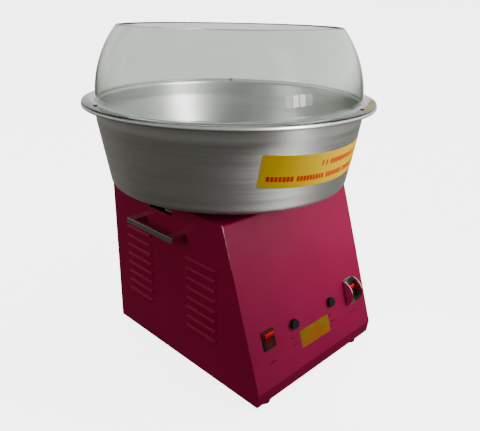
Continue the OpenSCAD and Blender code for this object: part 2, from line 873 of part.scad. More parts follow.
front_top_panel();
left_side_panel();
right_side_panel();
rear_panel();
rear_angles();
rear_panel_screws();
base_plate();
feet();
foot_screws();
left_handle();
right_handle();
handle_screws();
motor_bracket();
motor_mount_bushes();
motor_bolts();
motor_housing();
motor_caps();
motor_bearings();
stator_core();
brush_holder();
carbon_brushes();
terminal_block();
internal_wiring();
gland_body();
gland_cap();
power_switch_housing();
heat_switch_housing();
heat_switch_guard();
switch_terminals();
fuse_holders();
fuse_nuts();
bowl_seat();
seat_gasket();
locating_pins();
shaft_collar();
panel_label();
motor_shaft();
rotor();
cooling_fan();
slip_ring_sleeve();
slip_rings();
head_hub();
head_base();
head_nut();
heater_rings();
head_posts();
head_band();
head_cap();
cap_screws();
bowl();
bowl_label();
dome();
dome_buttons();
rim_label();
power_rocker();
heat_rocker();
left_fuse_carrier();
right_fuse_carrier();
left_fuse_cap();
right_fuse_cap();
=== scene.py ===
"""The looks of a cotton candy machine: its finishes, its finer pieces, the camera and the light."""
import json
import math

import bmesh
import bpy
from mathutils import Matrix, Vector


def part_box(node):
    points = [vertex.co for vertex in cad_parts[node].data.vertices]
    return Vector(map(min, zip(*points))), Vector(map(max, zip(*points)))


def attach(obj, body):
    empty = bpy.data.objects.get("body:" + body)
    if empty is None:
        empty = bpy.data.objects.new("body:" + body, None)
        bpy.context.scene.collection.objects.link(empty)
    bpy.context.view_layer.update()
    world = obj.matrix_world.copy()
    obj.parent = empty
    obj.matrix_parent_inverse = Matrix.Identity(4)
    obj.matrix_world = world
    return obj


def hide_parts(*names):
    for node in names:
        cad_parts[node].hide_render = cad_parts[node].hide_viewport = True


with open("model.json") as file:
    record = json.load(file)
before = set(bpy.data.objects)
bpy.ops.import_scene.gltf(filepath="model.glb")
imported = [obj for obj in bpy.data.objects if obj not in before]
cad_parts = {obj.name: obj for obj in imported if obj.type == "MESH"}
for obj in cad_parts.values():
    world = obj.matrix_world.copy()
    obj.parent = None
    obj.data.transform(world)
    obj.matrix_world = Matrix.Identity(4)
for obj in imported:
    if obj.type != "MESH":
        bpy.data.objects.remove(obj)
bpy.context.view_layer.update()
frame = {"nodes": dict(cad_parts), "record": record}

MM = 0.001


# ---- driving dimensions, from the frame ----

record = frame["record"]
body_of = {node: body for body, nodes in record["behaviour"]["bodies"].items() for node in nodes}
slot_of = {part["node"]: part["material_slot"] for part in record["subparts"]}

panel_low, panel_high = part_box("front_top_panel")
bowl_low, bowl_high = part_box("bowl")
dome_low, dome_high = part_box("dome")
half_w = panel_high.x
top_z = panel_high.z
front_y = panel_low.y
top_front_y = -panel_high.y  # the top is as deep before the axis as behind it
LIP_H = 25 * MM
fold_z = panel_low.z + LIP_H
slope = math.atan((top_front_y - front_y) / (top_z - fold_z))
rim_r = round(bowl_high.x, 3)
bowl_z = bowl_low.z
rim_z = bowl_high.z

# ---- small geometry tools ----


def unit(v):
    return v / v.length


def on_circle(radius, angle):
    return Vector((radius * math.cos(angle), radius * math.sin(angle)))


def arc(centre, radius, start, end, steps):
    """Points of an arc in a plane; angles in degrees."""
    angles = [math.radians(start + (end - start) * i / steps) for i in range(steps + 1)]
    return [Vector((centre[0] + radius * math.cos(a), centre[1] + radius * math.sin(a))) for a in angles]


def rounded(points, radii, steps=10):
    """A polyline whose inner corners are replaced by arcs of the given radii."""
    points = [Vector(p) for p in points]
    path = [points[0]]
    for before, point, after, radius in zip(points, points[1:], points[2:], radii):
        u, v = unit(before - point), unit(after - point)
        half = u.angle(v) / 2
        centre = point + unit(u + v) * radius / math.sin(half)
        first = point + u * radius / math.tan(half) - centre
        turn = (math.pi - 2 * half) * (-1 if u.x * v.y - u.y * v.x > 0 else 1)
        for i in range(steps + 1):
            path.append(centre + Matrix.Rotation(turn * i / steps, 2) @ first)
    return path + [points[-1]]


def shifted(path, distance):
    """The path moved sideways, to its left when distance is positive."""
    moved = []
    for i, point in enumerate(path):
        before = unit(path[max(i, 1)] - path[max(i, 1) - 1])
        j = min(i, len(path) - 2)
        after = unit(path[j + 1] - path[j])
        left, right = Vector((-before.y, before.x)), Vector((-after.y, after.x))
        middle = unit(left + right)
        moved.append(point + middle * distance / middle.dot(left))
    return moved


def sheet_outline(path, thickness, edge_steps=6):
    """The closed outline of a sheet centred on a path, with round ends."""
    left, right = shifted(path, thickness / 2), shifted(path, -thickness / 2)
    outline = list(left)
    for end, start_point in ((path[-1], left[-1]), (path[0], right[0])):
        if end is path[0]:
            outline += list(reversed(right))
        arm = start_point - end
        for i in range(1, edge_steps):
            outline.append(end + Matrix.Rotation(-math.pi * i / edge_steps, 2) @ arm)
    return outline


def shade(mesh, smooth_angle=35):
    """Smooth shading, except at edges sharper than the angle."""
    mesh.shade_smooth()
    mesh.set_sharp_from_angle(angle=math.radians(smooth_angle))


def new_object(name, bm, smooth_angle=35):
    """Turns a bmesh into an object, smooth except at edges sharper than the angle."""
    mesh = bpy.data.meshes.new(name)
    bmesh.ops.recalc_face_normals(bm, faces=bm.faces)
    bm.to_mesh(mesh)
    bm.free()
    shade(mesh, smooth_angle)
    piece = bpy.data.objects.new(name, mesh)
    bpy.context.scene.collection.objects.link(piece)
    return piece


def turned(bm, outline, segments):
    """Rings of new points: the outline of (radius, height) points at each step about the vertical axis."""
    rings = []
    for i in range(segments):
        angle = 2 * math.pi * i / segments
        rings.append([bm.verts.new((*on_circle(r, angle), z)) for r, z in outline])
    return rings


def lathe(name, outline, segments):
    """Turns a closed outline of (radius, height) points about the vertical axis."""
    bm = bmesh.new()
    rings = turned(bm, outline, segments)
    count = len(outline)
    for i in range(segments):
        here, there = rings[i], rings[(i + 1) % segments]
        for j in range(count):
            k = (j + 1) % count
            bm.faces.new((here[j], there[j], there[k], here[k]))
    return new_object(name, bm)


def fine_copy(node, width, segments=2, sharp_angle=28):
    """A copy of a CAD node's mesh with its sharp edges rounded off."""
    bm = bmesh.new()
    bm.from_mesh(frame["nodes"][node].data)
    bmesh.ops.remove_doubles(bm, verts=bm.verts, dist=1e-6)
    bmesh.ops.dissolve_limit(bm, angle_limit=math.radians(0.5), verts=bm.verts, edges=bm.edges)
    limit = math.radians(sharp_angle)
    edges = [e for e in bm.edges if len(e.link_faces) == 2 and e.calc_face_angle(0) > limit]
    bmesh.ops.bevel(bm, geom=edges, offset=width, segments=segments, profile=0.5, affect="EDGES",
                    clamp_overlap=True)
    piece = new_object(node + "_fine", bm, 40)
    piece.modifiers.new("even_normals", "WEIGHTED_NORMAL").keep_sharp = True
    return piece


def drilled(piece, radius, low, high, place_r, start, count=3, segments=32):
    """Cuts upright round holes through a piece, evenly spaced round the axis; start is in degrees."""
    bm = bmesh.new()
    for i in range(count):
        angle = math.radians(start + i * 360 / count)
        middle = Vector((*on_circle(place_r, angle), (low + high) / 2))
        bmesh.ops.create_cone(bm, cap_ends=True, segments=segments, radius1=radius, radius2=radius,
                              depth=high - low, matrix=Matrix.Translation(middle))
    drill = new_object("drill", bm)
    cut = piece.modifiers.new("holes", "BOOLEAN")
    cut.operation, cut.solver, cut.object = "DIFFERENCE", "MANIFOLD", drill
    bpy.context.view_layer.update()
    mesh = bpy.data.meshes.new_from_object(piece.evaluated_get(bpy.context.evaluated_depsgraph_get()))
    shade(mesh)
    piece.modifiers.clear()
    piece.data = mesh
    bpy.data.objects.remove(drill)
    return piece


def on_front(x, s, out):
    """A point on the sloping front: s up the slope from the fold, out from the panel."""
    return Vector((x, front_y + s * math.sin(slope) - out * math.cos(slope),
                   fold_z + s * math.cos(slope) + out * math.sin(slope)))


def add_patch(bm, place, start, size, thickness, corner, across, out=0.0):
    """Adds a thin sticker with rounded corners, cut across into strips so that it can bend.

    place(s, t, out) gives the point s along, t up and out from the surface.
    """
    columns = []
    for i in range(across + 1):
        s = size[0] * i / across
        near = min(s, size[0] - s)
        cut = corner - math.sqrt(max(corner ** 2 - (corner - near) ** 2, 0)) if near < corner else 0
        column = []
        for height in (out, out + thickness):
            for t in (cut, size[1] - cut):
                column.append(bm.verts.new(place(start[0] + s, start[1] + t, height)))
        columns.append(column)
    for left, right in zip(columns, columns[1:]):
        for a, b in ((0, 1), (1, 3), (3, 2), (2, 0)):
            bm.faces.new((left[a], left[b], right[b], right[a]))
    for column in (columns[0], columns[-1]):
        bm.faces.new((column[0], column[1], column[3], column[2]))


def patch(name, *sticker):
    """A sticker as a piece of its own, with the arguments of add_patch."""
    bm = bmesh.new()
    add_patch(bm, *sticker)
    return new_object(name, bm)


# ---- materials ----


class Tree:
    """Builds the node tree of a material, or of the world, with short calls."""

    def __init__(self, name, world=False):
        self.owner = (bpy.data.worlds if world else bpy.data.materials).new(name)
        self.owner.use_nodes = True
        self.tree = self.owner.node_tree
        self.shader = self.tree.nodes["Background" if world else "Principled BSDF"]
        self.place = self.node("ShaderNodeTexCoord").outputs["Generated" if world else "Object"]

    def node(self, kind, inputs=None, **settings):
        made = self.tree.nodes.new(kind)
        for key, value in settings.items():
            setattr(made, key, value)
        for key, value in (inputs or {}).items():
            self.feed(made.inputs[key], value)
        return made

    def feed(self, socket, value):
        if isinstance(value, bpy.types.NodeSocket):
            self.tree.links.new(value, socket)
        else:
            socket.default_value = value

    def set(self, **inputs):
        """Feeds the shader's inputs, by short names."""
        names = {"color": "Base Color", "rough": "Roughness", "normal": "Normal", "metal": "Metallic",
                 "ior": "IOR", "glass": "Transmission Weight", "specular": "Specular IOR Level",
                 "coat": "Coat Weight", "coat_rough": "Coat Roughness", "aniso": "Anisotropic",
                 "aniso_turn": "Anisotropic Rotation", "tangent": "Tangent",
                 "soft": "Subsurface Weight", "soft_scale": "Subsurface Scale",
                 "glow": "Emission Color", "glow_strength": "Emission Strength"}
        for key, value in inputs.items():
            self.feed(self.shader.inputs[names[key]], value)
        return self.owner

    def noise(self, scale, detail=3, rough=0.5, vector=None):
        inputs = {"Vector": vector or self.place, "Scale": scale, "Detail": detail, "Roughness": rough}
        return self.node("ShaderNodeTexNoise", inputs).outputs["Fac"]

    def ramp(self, value, low, high, out_low=0.0, out_high=1.0):
        """Maps the value from low..high to out_low..out_high, clamped at both ends."""
        inputs = {"Value": value, "From Min": low, "From Max": high, "To Min": out_low, "To Max": out_high}
        return self.node("ShaderNodeMapRange", inputs).outputs["Result"]

    def mix(self, factor, a, b):
        made = self.node("ShaderNodeMix", data_type="RGBA")
        self.feed(made.inputs[0], factor)
        self.feed(made.inputs[6], a)
        self.feed(made.inputs[7], b)
        return made.outputs[2]

    def math(self, operation, a, b=0.0):
        made = self.node("ShaderNodeMath", operation=operation)
        self.feed(made.inputs[0], a)
        self.feed(made.inputs[1], b)
        return made.outputs[0]

    def bump(self, height, distance, strength=1.0, normal=None):
        made = self.node("ShaderNodeBump", {"Height": height, "Distance": distance, "Strength": strength})
        if normal is not None:
            self.feed(made.inputs["Normal"], normal)
        return made.outputs["Normal"]

    def axes(self):
        parts = self.node("ShaderNodeSeparateXYZ", {"Vector": self.place})
        return parts.outputs["X"], parts.outputs["Y"], parts.outputs["Z"]

    def lathe_place(self, around, along):
        """Coordinates that run round the vertical axis slowly and across it quickly, for turning lines."""
        x, y, z = self.axes()
        angle = self.math("ARCTAN2", y, x)
        flat = self.math("SQRT", self.math("ADD", self.math("MULTIPLY", x, x), self.math("MULTIPLY", y, y)))
        inputs = {"X": self.math("MULTIPLY", angle, around), "Y": self.math("MULTIPLY", flat, along),
                  "Z": self.math("MULTIPLY", z, along)}
        return self.node("ShaderNodeCombineXYZ", inputs).outputs["Vector"]


def rgb(red, green, blue):
    return (red, green, blue, 1.0)


PAINT = rgb(0.185, 0.0025, 0.035)
PAINT_DARK = rgb(0.165, 0.002, 0.031)
PAINT_DUST = rgb(0.75, 0.35, 0.5)
# pale pink for worn paint and for a painted highlight along the front's side edges
PAINT_WORN_AND_HIGHLIGHT = rgb(0.85, 0.6, 0.7)


def edge_wear_and_highlight(t):
    """How much the paint shows wear and a painted highlight, 0 to 1: on the side edges of the sloping front,
    and most at its top corners.
    """
    x, y, z = t.axes()
    side = t.ramp(t.math("ABSOLUTE", x), half_w - 0.7 * MM, half_w - 0.4 * MM)
    forward = t.ramp(y, top_front_y + 3 * MM, top_front_y + 1 * MM)
    upper = t.ramp(z, top_z - 75 * MM, top_z - 20 * MM)
    line = t.math("MULTIPLY", upper, t.ramp(t.noise(90, 3, 0.6), 0.42, 0.52))
    corner = t.ramp(z, top_z - 16 * MM, top_z - 8 * MM)
    chips = t.ramp(t.noise(27, 1, 0.5), 0.66, 0.69)
    wear_and_highlight = t.math("MAXIMUM", t.math("MAXIMUM", t.math("MULTIPLY", line, 0.45), corner), chips)
    return t.math("MULTIPLY", wear_and_highlight, t.math("MULTIPLY", side, forward))


def powder_coat(name, worn_highlit_edges=False):
    """Pink paint, a little cloudy and dusty, with a fine orange-peel surface."""
    t = Tree(name)
    color = t.mix(t.ramp(t.noise(7, 4), 0.35, 0.65), PAINT, PAINT_DARK)
    dust = t.ramp(t.noise(420, 2), 0.66, 0.72, 0, 0.04)
    color = t.mix(dust, color, PAINT_DUST)
    if worn_highlit_edges:
        # worn paint and a painted highlight along the front's side edges, in pale pink
        color = t.mix(t.math("MULTIPLY", edge_wear_and_highlight(t), 0.9), color, PAINT_WORN_AND_HIGHLIGHT)
    peel = t.bump(t.noise(520, 2), 0.12 * MM, 0.35)
    rough = t.ramp(t.noise(30, 3), 0.3, 0.7, 0.36, 0.5)
    return t.set(color=color, rough=rough, normal=peel, specular=0.14)


def brushed_metal(name, color, dark, rough, stretch=(1, 1, 1), scale=1.0):
    """Metal with a fine grain, drawn out into lines where stretch squeezes it unevenly along X, Y and Z."""
    t = Tree(name)
    squeezed = t.node("ShaderNodeMapping", {"Vector": t.place, "Scale": stretch}).outputs["Vector"]
    lines = t.noise(400 * scale, 3, 0.6, squeezed)
    tint = t.mix(t.ramp(lines, 0.3, 0.7), color, dark)
    smudges = t.ramp(t.noise(14, 4), 0.35, 0.7, rough * 0.85, rough * 1.25)
    return t.set(color=tint, rough=smudges, metal=1.0, normal=t.bump(lines, 0.03 * MM, 0.4))


def spun_aluminium(name):
    """Spun sheet: turning lines of three widths, and a shine drawn out across them."""
    t = Tree(name)
    fine = t.noise(1.0, 2, 0.6, t.lathe_place(3.0, 1500))
    broad = t.noise(1.0, 3, 0.5, t.lathe_place(0.8, 160))
    long_lines = t.noise(1.0, 2, 0.5, t.lathe_place(1.2, 600))
    tone = t.math("ADD", t.math("MULTIPLY", fine, 0.5), t.math("MULTIPLY", broad, 0.5))
    color = t.mix(t.ramp(tone, 0.3, 0.7), rgb(0.60, 0.60, 0.585), rgb(0.72, 0.72, 0.705))
    rough = t.ramp(long_lines, 0.3, 0.7, 0.36, 0.46)
    normal = t.bump(fine, 0.05 * MM, 0.35)
    normal = t.bump(broad, 0.15 * MM, 0.2, normal)
    tangent = t.node("ShaderNodeTangent", direction_type="RADIAL", axis="Z").outputs["Tangent"]
    return t.set(color=color, rough=rough, metal=1.0, normal=normal, aniso=0.75, aniso_turn=0.25,
                 tangent=tangent)


def clear_acrylic(name):
    """Clear plastic with a green cast, slightly hazy and wavy."""
    t = Tree(name)
    haze = t.ramp(t.noise(18, 4), 0.4, 0.75, 0.015, 0.05)
    return t.set(color=rgb(0.86, 0.91, 0.872), rough=haze, ior=1.49, glass=1.0,
                 normal=t.bump(t.noise(9, 2), 0.6 * MM, 0.12))


def moulded(name, color, dark, rough, grain=700, specular=0.5):
    """Plastic or rubber with a fine moulded grain."""
    t = Tree(name)
    tint = t.mix(t.ramp(t.noise(40, 3), 0.35, 0.7), color, dark)
    shine = t.ramp(t.noise(60, 3), 0.3, 0.7, rough * 0.85, min(1.0, rough * 1.15))
    return t.set(color=tint, rough=shine, specular=specular, normal=t.bump(t.noise(grain, 2), 0.08 * MM, 0.5))


HIGHLIGHT_S = 85 * MM  # how far up the slope the painted highlight across a rocker's upper end starts
HIGHLIGHT_Z = fold_z + HIGHLIGHT_S * math.cos(slope)


def red_translucent(name):
    """A rocker's dark red plastic, with a painted highlight: a brighter red strip across its upper end."""
    t = Tree(name)
    height = t.axes()[2]
    swirl = t.ramp(t.noise(160, 3), 0.35, 0.7)
    body = t.mix(swirl, rgb(0.085, 0.0008, 0.002), rgb(0.055, 0.0006, 0.0015))
    # painted highlight: a brighter red band across the rocker's upper end, where its top catches the light
    lens = t.ramp(height, HIGHLIGHT_Z - 0.4 * MM, HIGHLIGHT_Z + 0.4 * MM)
    color = t.mix(lens, body, rgb(0.42, 0.002, 0.006))
    rough = t.ramp(t.noise(90, 2), 0.3, 0.7, 0.16, 0.26)
    return t.set(color=color, rough=rough, glass=0.1, soft=0.1, soft_scale=3 * MM, coat=0.3, coat_rough=0.1,
                 specular=0.3, normal=t.bump(t.noise(300, 2), 0.04 * MM, 0.3))


def printed_vinyl(name, color, dark, rough=0.38):
    """Printed film, slightly faded in patches."""
    t = Tree(name)
    tint = t.mix(t.ramp(t.noise(55, 4), 0.3, 0.75), color, dark)
    return t.set(color=tint, rough=t.ramp(t.noise(35, 3), 0.3, 0.7, rough * 0.8, rough * 1.2),
                 normal=t.bump(t.noise(130, 3), 0.08 * MM, 0.3), specular=0.22)


def laminated(name):
    """Stacked iron laminations: thin dark lines across the height, two to a millimetre."""
    t = Tree(name)
    height = t.axes()[2]
    lines = t.math("ABSOLUTE", t.math("SINE", t.math("MULTIPLY", height, 2 * math.pi / MM)))
    color = t.mix(t.ramp(lines, 0.0, 0.3), rgb(0.08, 0.07, 0.06), rgb(0.33, 0.33, 0.34))
    return t.set(color=color, rough=t.ramp(t.noise(80, 2), 0.3, 0.7, 0.4, 0.6), metal=0.8,
                 normal=t.bump(lines, 0.1 * MM, 0.4))


MATERIALS = {}


def add_finish(slot, make, *settings, **named):
    """Makes the material that stands for one of the frame's slots."""
    MATERIALS[slot] = make(slot, *settings, **named)


add_finish("pink_powder_coat", powder_coat)
add_finish("zinc_steel", brushed_metal, rgb(0.50, 0.51, 0.52), rgb(0.38, 0.39, 0.40), 0.38, scale=0.3)
add_finish("chrome", brushed_metal, rgb(0.66, 0.66, 0.64), rgb(0.58, 0.58, 0.56), 0.16, (4, 0.05, 4))
add_finish("cast_aluminium", brushed_metal, rgb(0.66, 0.66, 0.65), rgb(0.5, 0.5, 0.5), 0.34, scale=0.4)
add_finish("spun_aluminium", spun_aluminium)
add_finish("laminated_iron", laminated)
add_finish("black_rubber", moulded, rgb(0.008, 0.008, 0.008), rgb(0.014, 0.014, 0.014), 0.75, 500,
           specular=0.2)
add_finish("black_plastic", moulded, rgb(0.006, 0.006, 0.006), rgb(0.011, 0.011, 0.011), 0.42, specular=0.16)
add_finish("brown_phenolic", moulded, rgb(0.13, 0.04, 0.018), rgb(0.2, 0.07, 0.03), 0.45)
add_finish("carbon", moulded, rgb(0.02, 0.02, 0.022), rgb(0.04, 0.04, 0.042), 0.6)
add_finish("brass", brushed_metal, rgb(0.72, 0.47, 0.16), rgb(0.55, 0.34, 0.1), 0.28, (1, 1, 6), 0.6)
add_finish("white_ceramic", moulded, rgb(0.8, 0.78, 0.71), rgb(0.7, 0.68, 0.6), 0.5)
add_finish("wire_sleeve", moulded, rgb(0.03, 0.03, 0.034), rgb(0.05, 0.05, 0.055), 0.55)
add_finish("heater_alloy", brushed_metal, rgb(0.24, 0.21, 0.2), rgb(0.34, 0.26, 0.2), 0.5, scale=0.4)
add_finish("clear_acrylic", clear_acrylic)
add_finish("red_translucent", red_translucent)
add_finish("fuse_carrier", moulded, rgb(0.6, 0.57, 0.5), rgb(0.5, 0.47, 0.4), 0.4)
add_finish("yellow_label", printed_vinyl, rgb(0.50, 0.32, 0.0), rgb(0.46, 0.285, 0.0))

# the front panel's paint, with worn edges that also carry a painted highlight
worn_highlit_paint = powder_coat("worn_highlit_pink_powder_coat", worn_highlit_edges=True)
aged_label = printed_vinyl("aged_label", rgb(0.165, 0.09, 0.0), rgb(0.14, 0.075, 0.0))
red_print = printed_vinyl("red_print", rgb(0.4, 0.02, 0.004), rgb(0.33, 0.018, 0.004))
pale_print = printed_vinyl("pale_print", rgb(0.36, 0.38, 0.35), rgb(0.31, 0.33, 0.30))
dark_print = printed_vinyl("dark_print", rgb(0.02, 0.003, 0.008), rgb(0.03, 0.004, 0.01), 0.5)


def paint(piece, material):
    piece.data.materials.clear()
    piece.data.materials.append(material)
    return piece


def stand_for(piece, node, material=None):
    """The piece rides on the node's body, hides it and takes its finish."""
    paint(piece, material or MATERIALS[slot_of[node]])
    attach(piece, body_of[node])
    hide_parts(node)
    return piece


for name, part in frame["nodes"].items():
    paint(part, MATERIALS[slot_of[name]])
    shade(part.data)

# ---- bowl ----

BOWL_T = 1.2 * MM
BEAD_R = 2.8 * MM
COLLAR_R = 86 * MM
COLLAR_H = 24 * MM
WALL_LOW_R = 217 * MM
WALL_HIGH_R = 237 * MM
THROAT_R = WALL_HIGH_R - 1 * MM  # where the wall turns out into the rim
WIDEST_Z = 440 * MM
BOWL_BENDS = [3 * MM, 12 * MM, 40 * MM, 3.5 * MM]  # from the collar to the rim


def make_bowl():
    mid = BOWL_T / 2
    flange_z = rim_z - mid
    bead_centre = (rim_r - BEAD_R, rim_z - BEAD_R)
    path = rounded([(COLLAR_R + mid, bowl_z + COLLAR_H), (COLLAR_R + mid, bowl_z + mid),
                    (WALL_LOW_R - mid, bowl_z + mid), (WALL_HIGH_R - mid, WIDEST_Z),
                    (THROAT_R - mid, flange_z), (bead_centre[0], flange_z)], BOWL_BENDS)
    # the rim's sheet curls down and under into a bead
    path = path[:-1] + arc(bead_centre, BEAD_R - mid, 90, -170, 26)
    return lathe("bowl_spun", sheet_outline(path, BOWL_T), 360)


# round holes: radius, how far from the axis, angle of the first in degrees
PIN_HOLE_R, PIN_PLACE, PIN_START = 1.85 * MM, 144 * MM, 30
BUTTON_R, BUTTON_PLACE, BUTTON_START = 2.6 * MM, 245 * MM, 46
RIM_HOLE_R = BUTTON_R + 0.6 * MM
DOME_HOLE_R = BUTTON_R + 0.02 * MM
DRILL_REACH = 5 * MM

bowl = drilled(make_bowl(), PIN_HOLE_R, bowl_z - DRILL_REACH, bowl_z + DRILL_REACH, PIN_PLACE, PIN_START)
bowl = drilled(bowl, RIM_HOLE_R, rim_z - DRILL_REACH, rim_z + DRILL_REACH, BUTTON_PLACE, BUTTON_START)
stand_for(bowl, "bowl")

# ---- dome ----

DOME_T = 3 * MM
DOME_ARC_R = 185 * MM
DOME_ARC_LOW_Z = rim_z + 7 * MM
DOME_BEND = 4.5 * MM
dome_top_z = dome_high.z - 0.9 * MM


def make_dome():
    mid = DOME_T / 2
    flange_z = dome_low.z + mid
    wall_r = THROAT_R - mid
    arc_r = DOME_ARC_R - mid
    top_angle = math.degrees(math.asin((dome_top_z - DOME_ARC_LOW_Z) / arc_r))
    wall_top = (wall_r, DOME_ARC_LOW_Z - 0.5 * MM)
    path = rounded([(dome_high.x, flange_z), (wall_r, flange_z), wall_top], [DOME_BEND])
    path += arc((wall_r - arc_r, DOME_ARC_LOW_Z), arc_r, 0, top_angle, 40)
    return lathe("dome_blown", sheet_outline(path, DOME_T), 240)


dome = drilled(make_dome(), DOME_HOLE_R, rim_z - DRILL_REACH, rim_z + 3 * DRILL_REACH, BUTTON_PLACE,
               BUTTON_START)
stand_for(dome, "dome")

# ---- cabinet and fittings: rounded copies of the CAD ----

stand_for(fine_copy("front_top_panel", 0.45 * MM), "front_top_panel", worn_highlit_paint)
# the rounding's width in millimetres, and the nodes that have it
ROUNDINGS = {
    0.3: ("left_side_panel", "right_side_panel", "left_fuse_cap", "right_fuse_cap", "bowl_seat",
          "shaft_collar"),
    0.35: ("heat_switch_guard",),
    0.4: ("rear_panel", "head_cap", "head_base", "dome_buttons", "rear_panel_screws"),
    0.5: ("power_switch_housing", "heat_switch_housing", "gland_body", "gland_cap", "head_nut"),
    0.8: ("left_handle", "right_handle", "power_rocker", "heat_rocker", "feet"),
}
for width, nodes in ROUNDINGS.items():
    for name in nodes:
        stand_for(fine_copy(name, width * MM), name)

# ---- labels and printed marks, all without words ----

VINYL_T = 0.25 * MM
VINYL_CORNER = 1.5 * MM
INK_T = 0.04 * MM
BLOCK_T = 0.06 * MM
BLOCK_CORNER = 0.4 * MM

# the bowl's wall as a cone: its lean from upright, and the height of its tip
WALL_LEAN = math.atan((WALL_HIGH_R - WALL_LOW_R) / (WIDEST_Z - bowl_z))
WALL_APEX_Z = bowl_z - WALL_LOW_R / math.tan(WALL_LEAN)
LABEL_L, LABEL_H = 359 * MM, 53.7 * MM
LABEL_START = -159.4 * MM
LABEL_MID_Z = 387.3 * MM
LABEL_TURN = math.radians(7.2)
LABEL_FOOT = (LABEL_MID_Z - WALL_APEX_Z) / math.cos(WALL_LEAN) - LABEL_H / 2


def on_bowl(s, t, out):
    """A point of a flat sticker laid on the tapered wall: s along it, t up it, out from the wall."""
    from_apex = math.hypot(s, LABEL_FOOT + t)
    angle = LABEL_TURN + math.atan2(s, LABEL_FOOT + t) / math.sin(WALL_LEAN)
    r = from_apex * math.sin(WALL_LEAN) + out * math.cos(WALL_LEAN)
    z = WALL_APEX_Z + from_apex * math.cos(WALL_LEAN) - out * math.sin(WALL_LEAN)
    return Vector((r * math.sin(angle), -r * math.cos(angle), z))


RIM_LABEL_TURN, RIM_LABEL_IN = math.radians(-62.5), 244.2 * MM
rim_label_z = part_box("rim_label")[1].z


def on_rim_label(s, t, out):
    """A point on the dome's flange: s along the small sticker, t outwards from its inner edge."""
    x, y = RIM_LABEL_IN + t, s
    return Vector((x * math.cos(RIM_LABEL_TURN) - y * math.sin(RIM_LABEL_TURN),
                   x * math.sin(RIM_LABEL_TURN) + y * math.cos(RIM_LABEL_TURN), rim_label_z + out))


def printed_rows(name, place, rows, body, out, block, gap):
    """Rows of plain red blocks, joined as one piece.

    Each row is (height up the label, block height, [(start, length), ...]).
    """
    bm = bmesh.new()
    for up, tall, bars in rows:
        for start, length in bars:
            count = max(1, round((length + gap) / (block + gap)))
            wide = (length + gap) / count - gap
            for i in range(count):
                corner = (start + i * (wide + gap), up)
                add_patch(bm, place, corner, (wide, tall), BLOCK_T, BLOCK_CORNER, 4, out)
    blocks = new_object(name, bm)
    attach(paint(blocks, red_print), body)


def make_bowl_label():
    vinyl = patch("bowl_label_vinyl", on_bowl, (LABEL_START, 0), (LABEL_L, LABEL_H), VINYL_T, VINYL_CORNER,
                  96, 0.1 * MM)
    stand_for(vinyl, "bowl_label")
    word_gap = 6 * MM
    start = LABEL_START + 12 * MM
    lower = []
    for word in (46, 55, 44, 42, 62, 52):
        lower.append((start, word * MM))
        start += word * MM + word_gap
    upper_start = -49 * MM
    upper = [(upper_start + at * MM, length * MM)
             for at, length in ((0, 4), (9, 4), (20, 78), (104, 4), (113, 4))]
    tall = 9 * MM
    printed_rows("bowl_label_blocks", on_bowl, [(10 * MM, tall, lower), (32 * MM, tall, upper)], "bowl",
                 0.34 * MM, 5.2 * MM, 1.3 * MM)


def make_rim_label_oval():
    length, width = 38 * MM, 8 * MM
    oval = patch("rim_label_pale_oval", on_rim_label, (-length / 2, 3.2 * MM), (length, width), INK_T,
                 width / 2, 38)
    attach(paint(oval, pale_print), "dome")


PANEL_LABEL_L, PANEL_LABEL_H = 80 * MM, 31 * MM
PANEL_LABEL_S = 30 * MM


def make_panel_label():
    vinyl = patch("panel_label_vinyl", on_front, (-PANEL_LABEL_L / 2, PANEL_LABEL_S),
                  (PANEL_LABEL_L, PANEL_LABEL_H), VINYL_T, VINYL_CORNER, 40, 0.02 * MM)
    stand_for(vinyl, "panel_label", aged_label)
    tall = 2.6 * MM
    # height of each row up the label, and its bars as (start, length), all in millimetres
    rows = [(PANEL_LABEL_S + up * MM, tall, [(start * MM, length * MM) for start, length in bars])
            for up, bars in ((4, [(-36, 19), (-15, 14), (1, 12), (15, 19)]),
                             (12, [(-28, 30), (5, 21)]),
                             (20, [(-13, 24)]))]
    printed_rows("panel_label_blocks", on_front, rows, "cabinet", 0.28 * MM, 1.8 * MM, 0.6 * MM)


# printed dashes by the switches and fuses, in millimetres: (x of the middle, height up the slope, length)
DASHES = [(-115, 38, 14), (-60, 56, 11), (-56, 43, 9), (44, 56, 11), (50, 43, 7), (108, 38, 10), (119, 38, 9)]
DASH_H = 2.4 * MM


def make_panel_marks():
    for i, (x, s, length) in enumerate(DASHES):
        start = ((x - length / 2) * MM, s * MM)
        dash = patch(f"panel_mark_{i}", on_front, start, (length * MM, DASH_H), INK_T, 0.5 * MM, 8, 0.14 * MM)
        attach(paint(dash, dark_print), "cabinet")


make_bowl_label()
make_rim_label_oval()
make_panel_label()
make_panel_marks()

# ---- camera ----

CAMERA_PLACE = Vector((-0.6619, -0.6945, 0.6187))
CAMERA_YAW, CAMERA_PITCH, CAMERA_ROLL = 45.54, -20.44, 1.15  # degrees; yaw from +Y towards +X
SENSOR_MM, LENS_MM = 36, 39.37
CAMERA_SHIFT = (-0.0120, -0.0232)


